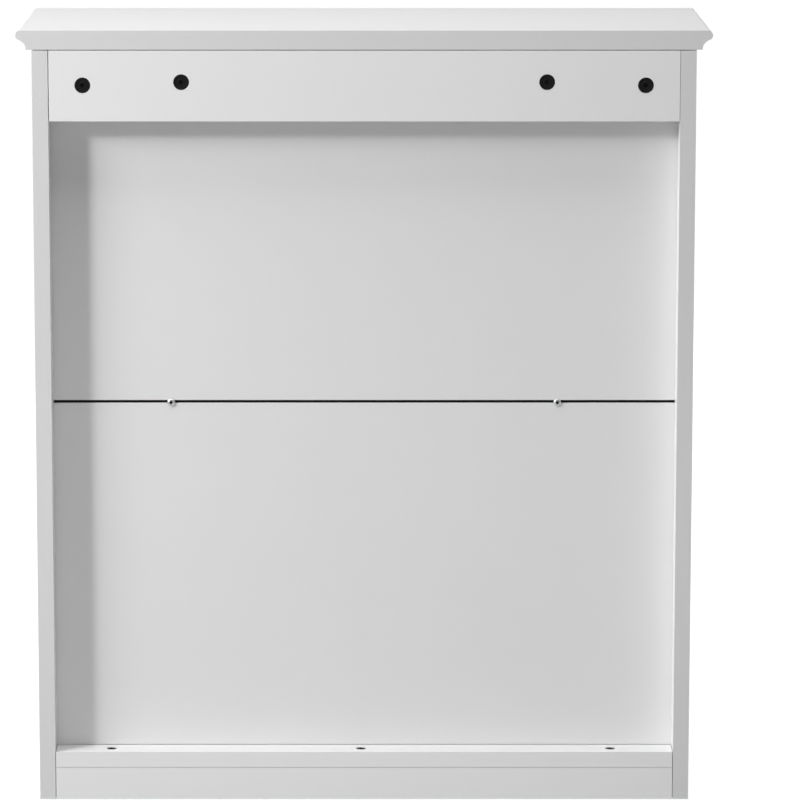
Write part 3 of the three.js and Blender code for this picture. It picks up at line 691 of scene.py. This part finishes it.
# %% Screws at the seam and in the base
PAN_HEAD = [(0, -16), (1.6, -12.4), (1.75, -11), (1.75, 0), (3.7, 0), (3.8, 0.35), (3.65, 0.9),
            (3.15, 1.5), (2.3, 1.95), (1.1, 2.15), (0, 2.2)]
HEAD_HEIGHT = PAN_HEAD[-1][1] * MM
SUNK_HEAD = [(0, -38), (1.8, -33.4), (2, -32), (2, -3.2), (4.6, -0.6), (4.6, -0.1), (4.2, 0), (0, 0)]
for side, turn in (("left", 0.5), ("right", 0.05)):
    node = f"back_panel_screw_{side}"
    tip = Vector((middle(node).x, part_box(node)[1].y, middle(node).z))
    seat = tip - Vector((0, HEAD_HEIGHT, 0))
    screw = carve(turned(PAN_HEAD, (0, 1, 0), seat), cross(4.9, 1.5, 1.6, (0, 1, 0), tip, turn))
    add_piece(node + "_fine", screw, "cabinet", "bright_zinc", [node])
for side, turn in (("left", 0.2), ("middle", 1.1), ("right", 0.7)):
    node = f"base_screw_{side}"
    tip = Vector((middle(node).x, middle(node).y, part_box(node)[1].z))
    screw = carve(turned(SUNK_HEAD, (0, 0, 1), tip), cross(5.2, 1.4, 2, (0, 0, 1), tip, turn))
    add_piece(node + "_fine", screw, "cabinet", "black_zinc", [node])
print("screws at the seam and in the base made")

# %% Knobs, glides, pins and pegs
KNOB = [(0, 0), (9.4, 0), (9.5, 0.6), (9.3, 1.5), (7.2, 2.8), (5.2, 5.5), (4.9, 9), (6.0, 11.8),
        (10.2, 13.2), (13.9, 15.2), (14.7, 17.7), (13.8, 20.2), (11, 22.2), (7, 23.4), (3, 23.8),
        (0, 23.8)]
GLIDE = [(0, 0), (5.6, 0), (6.6, 0.3), (7, 1), (7, 2.5), (6.8, 2.8), (1.2, 2.8), (1.2, 12.4),
         (0, 14.8)]
PIN_RADIUS = 4
PIN_CHAMFER = {"pivot_pin": 0.6, "stop_peg": 0.9}
for unit in UNITS:
    node = f"{unit}_knob"
    foot = Vector((middle(node).x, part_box(node)[1].y, middle(node).z))
    knob = turned([KNOB[0], *softened(KNOB[1:-1]), KNOB[-1]], (0, -1, 0), foot, sides=96)
    add_piece(node + "_fine", knob, f"{unit}_flip_unit", "satin_nickel", [node])
for end in ("front", "rear"):
    for side in ("left", "right"):
        node = f"foot_glide_{end}_{side}"
        foot = Vector((middle(node).x, middle(node).y, 0))
        add_piece(node + "_fine", turned(GLIDE, (0, 0, 1), foot), "cabinet", "white_plastic", [node])


def rod_profile(radius, length, chamfer):
    """A plain rod with a chamfer at both ends."""
    return [(0, 0), (radius - chamfer, 0), (radius, chamfer), (radius, length - chamfer),
            (radius - chamfer, length), (0, length)]


for unit in UNITS:
    for side in ("left", "right"):
        for part, chamfer in PIN_CHAMFER.items():
            node = f"{unit}_{part}_{side}"
            low_corner, high_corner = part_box(node)
            start = Vector((low_corner.x, middle(node).y, middle(node).z))
            length = (high_corner.x - low_corner.x) / MM
            rod = turned(rod_profile(PIN_RADIUS, length, chamfer), (1, 0, 0), start)
            add_piece(node + "_fine", rod, body_of[node], slot_of[node], [node])
print("knobs, glides, pins and pegs made")

# %% [markdown]
# ## Bead round each door panel
# A quarter-round bead hides the line between a door's frame and its panel. It is four mitred sticks,
# made here as one ring: each point of its section becomes a rectangle round the panel, as the top's
# outlines did round the body.

# %% Door beads
BEAD_WIDE, BEAD_PROUD, BEAD_EDGE = 6.0 * MM, 4.0 * MM, 0.4 * MM
STILE_GAP, RAIL_GAP, PANEL_GAP = 0.2 * MM, 0.1 * MM, 0.05 * MM


def door_bead(unit, steps=6):
    """The four sticks of one door's bead, mitred at the corners."""
    right_stile, left_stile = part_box(f"{unit}_door_stile_right"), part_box(f"{unit}_door_stile_left")
    top_rail, bottom_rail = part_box(f"{unit}_door_rail_top"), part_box(f"{unit}_door_rail_bottom")
    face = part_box(f"{unit}_door_panel")[0].y
    x_low, x_high = left_stile[1].x + STILE_GAP, right_stile[0].x - STILE_GAP
    z_low, z_high = bottom_rail[1].z + RAIL_GAP, top_rail[0].z - RAIL_GAP
    section = [(0.0, PANEL_GAP)]
    for i in range(steps + 1):
        angle = math.pi / 2 * i / steps
        section.append((BEAD_WIDE * math.sin(angle),
                        BEAD_EDGE + (BEAD_PROUD - BEAD_EDGE) * math.cos(angle)))
    section.append((BEAD_WIDE, PANEL_GAP))
    shape = bmesh.new()
    rings = [[shape.verts.new(corner) for corner in (
        (x_low + inward, face - out, z_low + inward), (x_high - inward, face - out, z_low + inward),
        (x_high - inward, face - out, z_high - inward), (x_low + inward, face - out, z_high - inward))]
        for inward, out in section]
    for i in range(len(rings)):
        one, other = rings[i], rings[(i + 1) % len(rings)]
        for k in range(4):
            n = (k + 1) % 4
            shape.faces.new((one[k], one[n], other[n], other[k]))
    bmesh.ops.recalc_face_normals(shape, faces=shape.faces)
    return add_piece(f"{unit}_door_bead", finish_mesh(shape, "bead", smooth=True),
                     f"{unit}_flip_unit", "white_foil")


for unit in UNITS:
    bead = door_bead(unit)
    print(bead.name, len(bead.data.polygons), "faces")

# %% [markdown]
# ## Rack screws
# Each flip-down unit is held together by small pan-head screws: three through each bracket's flange
# into the door, two into each end of every rack board, and one from behind into the knob. A screw
# repeats, so a Geometry Nodes tree puts one head on each point. Each point knows which way its screw
# faces, and a seeded random turn keeps the crosses from lining up, as on a real one. The tree marks
# the faces of each recess before it sets a finish, so that they can take the dark one, which is painted
# shade.

# %% A tree that puts screws on points
def screw_tree():
    """The Geometry Nodes tree: one turned screw on each point, as one real mesh with two finishes."""
    tree = bpy.data.node_groups.new("Screws on points", "GeometryNodeTree")
    face = tree.interface
    face.new_socket("Points", in_out="INPUT", socket_type="NodeSocketGeometry")
    face.new_socket("Screw", in_out="INPUT", socket_type="NodeSocketObject")
    face.new_socket("Finish", in_out="INPUT", socket_type="NodeSocketMaterial")
    face.new_socket("Recess finish", in_out="INPUT", socket_type="NodeSocketMaterial")
    face.new_socket("Size", in_out="INPUT", socket_type="NodeSocketFloat").default_value = 1.0
    face.new_socket("Seed", in_out="INPUT", socket_type="NodeSocketInt").default_value = 7
    face.new_socket("Screws", in_out="OUTPUT", socket_type="NodeSocketGeometry")
    given = tree.nodes.new("NodeGroupInput").outputs
    way = add_node(tree, "GeometryNodeInputNamedAttribute", {"Name": "way"}, data_type="FLOAT_VECTOR")
    aligned = add_node(tree, "FunctionNodeAlignRotationToVector",
                       {"Vector": way.outputs["Attribute"]}, axis="Z")
    turn = add_node(tree, "FunctionNodeRandomValue", {"Seed": given["Seed"]}, data_type="FLOAT")
    # Sockets 2 and 3 are the lowest and highest of a random float, and output 1 is the float.
    turn.inputs[2].default_value, turn.inputs[3].default_value = 0.0, 2 * math.pi
    spin = add_node(tree, "FunctionNodeAxisAngleToRotation",
                    {"Axis": (0, 0, 1), "Angle": turn.outputs[1]})
    both = add_node(tree, "FunctionNodeRotateRotation", {
        "Rotation": aligned.outputs["Rotation"], "Rotate By": spin.outputs["Rotation"]},
        rotation_space="LOCAL")
    head = add_node(tree, "GeometryNodeObjectInfo", {"Object": given["Screw"], "As Instance": True})
    placed = add_node(tree, "GeometryNodeInstanceOnPoints", {
        "Points": given["Points"], "Instance": head.outputs["Geometry"],
        "Rotation": both.outputs["Rotation"], "Scale": given["Size"]})
    real = add_node(tree, "GeometryNodeRealizeInstances", {"Geometry": placed.outputs["Instances"]})
    index = add_node(tree, "GeometryNodeInputMaterialIndex").outputs["Material Index"]
    recess = add_node(tree, "FunctionNodeCompare", data_type="INT", operation="EQUAL")
    # Sockets 2 and 3 are the two whole numbers to compare.
    tree.links.new(index, recess.inputs[2])
    recess.inputs[3].default_value = 1
    kept = add_node(tree, "GeometryNodeStoreNamedAttribute", {
        "Geometry": real.outputs["Geometry"], "Name": "recess", "Value": recess.outputs["Result"]},
        data_type="BOOLEAN", domain="FACE")
    shiny = add_node(tree, "GeometryNodeSetMaterial", {
        "Geometry": kept.outputs["Geometry"], "Material": given["Finish"]})
    # The recess faces take the dark finish that is painted shade.
    painted_shade_faces = add_node(tree, "GeometryNodeInputNamedAttribute", {"Name": "recess"}, data_type="BOOLEAN")
    coated = add_node(tree, "GeometryNodeSetMaterial", {
        "Geometry": shiny.outputs["Geometry"], "Selection": painted_shade_faces.outputs["Attribute"],
        "Material": given["Recess finish"]})
    tree.links.new(coated.outputs["Geometry"], tree.nodes.new("NodeGroupOutput").inputs["Screws"])
    return tree


SCREW_TREE = screw_tree()
print("screw tree:", len(SCREW_TREE.nodes), "nodes")


def placed_screws(name, spots, screw, body, slot, seed):
    """Runs the tree on (place, way) pairs, and keeps its result as a plain mesh on one body."""
    points = bpy.data.meshes.new(name)
    points.from_pydata([place for place, _ in spots], [], [])
    ways = points.attributes.new("way", "FLOAT_VECTOR", "POINT")
    ways.data.foreach_set("vector", [value for _, way in spots for value in way])
    carrier = bpy.data.objects.new(name, points)
    bpy.context.scene.collection.objects.link(carrier)
    nodes = carrier.modifiers.new("screws", "NODES")
    nodes.node_group = SCREW_TREE
    sockets = {item.name: item.identifier for item in SCREW_TREE.interface.items_tree
               if item.in_out == "INPUT"}
    nodes[sockets["Screw"]] = screw
    nodes[sockets["Finish"]] = FINISH[slot]
    # The recess finish is the dark one that paints the shade inside each recess.
    nodes[sockets["Recess finish"]] = PAINTED_RECESS_SHADE
    nodes[sockets["Seed"]] = seed
    depsgraph = bpy.context.evaluated_depsgraph_get()
    mesh = bpy.data.meshes.new_from_object(carrier.evaluated_get(depsgraph))
    bpy.data.objects.remove(carrier)
    marks = [int(mesh.materials[face.material_index] == PAINTED_RECESS_SHADE) for face in mesh.polygons]
    mesh.polygons.foreach_set("material_index", marks)
    return add_piece(name, mesh, body, slot)


# %% Screws of the flip-down units
SMALL_HEAD = [(0, -3), (1.5, -3), (1.5, 0), (3.1, 0), (3.2, 0.4), (2.9, 1.2), (2.0, 1.8), (0, 2.0)]
SMALL_TIP = Vector((0, 0, SMALL_HEAD[-1][1] * MM))
head_mesh = carve(turned(SMALL_HEAD, (0, 0, 1), (0, 0, 0), sides=24),
                  cross(3.6, 0.9, 1.2, (0, 0, 1), SMALL_TIP))
head = bpy.data.objects.new("small_screw", head_mesh)
FLANGE_THICK, FLANGE_MIDDLE = 3 * MM, 9 * MM
FLANGE_HEIGHTS = (40 * MM, 117 * MM, 194 * MM)
FIRST_SEED = 11
# For each board: the axis its screws are spread along, and where they sit as shares of its length.
ALONG_BOARD = {"rack_front_base": ("y", 0.25, 0.75), "rack_rear_base": ("y", 0.2, 0.75),
               "rack_divider": ("z", 0.12, 0.85), "rack_rear_board": ("z", 0.25, 0.8)}


def unit_screws(unit):
    """The place and facing of every small screw of one unit."""
    spots = []
    pivot = middle(f"{unit}_pivot_pin_left")
    for side, sign in (("left", -1), ("right", 1)):
        low_corner, high_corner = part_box(f"{unit}_rack_bracket_{side}")
        inner = low_corner.x if sign > 0 else high_corner.x
        outer = high_corner.x if sign > 0 else low_corner.x
        for up in FLANGE_HEIGHTS:
            place = (inner + sign * FLANGE_MIDDLE, low_corner.y + FLANGE_THICK, pivot.z + up)
            spots.append((place, (0, 1, 0)))
        for board, (line, *shares) in ALONG_BOARD.items():
            start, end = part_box(f"{unit}_{board}")
            for share in shares:
                place = (start + end) / 2
                along = getattr(start, line) * (1 - share) + getattr(end, line) * share
                setattr(place, line, along)
                place.x = outer
                spots.append((tuple(place), (sign, 0, 0)))
    rail_low, rail_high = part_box(f"{unit}_door_rail_top")
    spots.append(((0, rail_high.y, (rail_low.z + rail_high.z) / 2), (0, 1, 0)))
    return spots


for number, unit in enumerate(UNITS):
    spots = unit_screws(unit)
    screws = placed_screws(f"{unit}_rack_screws", spots, head, f"{unit}_flip_unit", "bright_zinc",
                           seed=FIRST_SEED + number)
    print(screws.name, len(spots), "screws,", len(screws.data.polygons), "faces")
bpy.data.objects.remove(head)

# %% [markdown]
# ## Lights and floor
# Two soft boxes to the left of the camera, a small one and a wide one, give the shadow that the side
# and the rail throw on the back panels, with its soft border. A big soft box overhead brightens what
# faces up, and a low strip lifts what is near the floor. Three more light the front and the side away
# from the key, and end below the top, so that none of them mirrors in it. The floor is a white sweep:
# the camera sees it bright and even, and every other ray meets a dimmer one, which keeps the light
# it throws back under control.

# %% Floor
FLOOR_REACH = 30
FLOOR_GLOW = 0.29                       # for every ray but the camera's
SWEEP_NEAR, SWEEP_FAR = 0.5, 3.5        # metres from the middle
SWEEP_NEAR_GLOW, SWEEP_FAR_GLOW = 0.91, 1.02
floor_shape = bmesh.new()
bmesh.ops.create_grid(floor_shape, x_segments=1, y_segments=1, size=FLOOR_REACH)
floor_mesh = finish_mesh(floor_shape, "floor")
floor = bpy.data.objects.new("floor", floor_mesh)
bpy.context.scene.collection.objects.link(floor)
sweep = bpy.data.materials.new("white sweep")
sweep.use_nodes = True
tree = sweep.node_tree
sweep_shader = tree.nodes["Principled BSDF"]
sweep_shader.inputs["Base Color"].default_value = (0.25, 0.25, 0.25, 1)
sweep_shader.inputs["Roughness"].default_value = 0.9
sweep_shader.inputs["Specular IOR Level"].default_value = 0.0
sweep_shader.inputs["Emission Color"].default_value = (1, 1, 1, 1)
place = add_node(tree, "ShaderNodeTexCoord").outputs["Object"]
away = add_node(tree, "ShaderNodeVectorMath", {0: place}, operation="LENGTH").outputs["Value"]
seen = add_node(tree, "ShaderNodeMapRange", {
    "Value": away, "From Min": SWEEP_NEAR, "From Max": SWEEP_FAR,
    "To Min": SWEEP_NEAR_GLOW, "To Max": SWEEP_FAR_GLOW})
shown = add_node(tree, "ShaderNodeLightPath").outputs["Is Camera Ray"]
glow = maths(tree, "ADD", maths(tree, "MULTIPLY", seen.outputs["Result"], shown),
             maths(tree, "MULTIPLY", maths(tree, "SUBTRACT", 1.0, shown), FLOOR_GLOW))
tree.links.new(glow, sweep_shader.inputs["Emission Strength"])
floor_mesh.materials.append(sweep)
print("floor finish:", sweep.name)

# %% Soft boxes and surroundings
def soft_box(name, towards, azimuth, elevation, distance, width, height, power):
    """An area light aimed at a point. Azimuth turns from the rear, positive to the camera's left.

    Angles are in degrees, sizes in metres and power in watts.
    """
    turn, lift = math.radians(azimuth), math.radians(elevation)
    back = Vector((math.sin(turn) * math.cos(lift), math.cos(turn) * math.cos(lift), math.sin(lift)))
    light = bpy.data.lights.new(name, "AREA")
    light.shape = "RECTANGLE"
    light.size = width
    light.size_y = height
    light.energy = power
    lamp = bpy.data.objects.new(name, light)
    lamp.location = Vector(towards) + back * distance
    lamp.rotation_euler = back.to_track_quat("Z", "Y").to_euler()
    bpy.context.scene.collection.objects.link(lamp)


REAR_MIDDLE = (0, REAR, 0.4)
REAR_FOOT = (0, REAR, 0)
TOP_MIDDLE = (0, 0, 0.74)
FRONT_MIDDLE = (0, -0.1, 0.38)
SIDE_MIDDLE = (-0.3, 0, 0.38)
LOW_BOX = 0.68                          # centred at 0.38, so it ends below the top
soft_box("key", REAR_MIDDLE, azimuth=56, elevation=23.9, distance=2.82,
         width=0.25, height=0.25, power=21)
soft_box("key_spread", REAR_MIDDLE, azimuth=62.7, elevation=27, distance=2.94,
         width=1, height=0.75, power=47)
soft_box("overhead", TOP_MIDDLE, azimuth=0, elevation=80, distance=1.8,
         width=2.2, height=1.4, power=36)
soft_box("floor_fill", REAR_FOOT, azimuth=0, elevation=8, distance=0.9,
         width=1.2, height=0.15, power=1.25)
soft_box("front_key", FRONT_MIDDLE, azimuth=145, elevation=0, distance=2.4,
         width=1, height=LOW_BOX, power=25)
soft_box("front_fill", FRONT_MIDDLE, azimuth=205, elevation=0, distance=2.8,
         width=1.6, height=LOW_BOX, power=9)
soft_box("side_fill", SIDE_MIDDLE, azimuth=-97, elevation=0, distance=2.4,
         width=1.2, height=LOW_BOX, power=8)

SKY_SEEN_IN_GLOSS = 0.3
SKY_FILL = 0.02
world = bpy.data.worlds.new("studio")
world.use_nodes = True
bpy.context.scene.world = world
tree = world.node_tree
rays = add_node(tree, "ShaderNodeLightPath").outputs
mirrored = maths(tree, "MULTIPLY", rays["Is Glossy Ray"], SKY_SEEN_IN_GLOSS)
sky_light = maths(tree, "MAXIMUM", maths(tree, "MAXIMUM", rays["Is Camera Ray"], mirrored), SKY_FILL)
sky = tree.nodes["Background"]
sky.inputs["Color"].default_value = (1, 1, 1, 1)
tree.links.new(sky_light, sky.inputs["Strength"])
bpy.context.scene.view_settings.view_transform = "Standard"
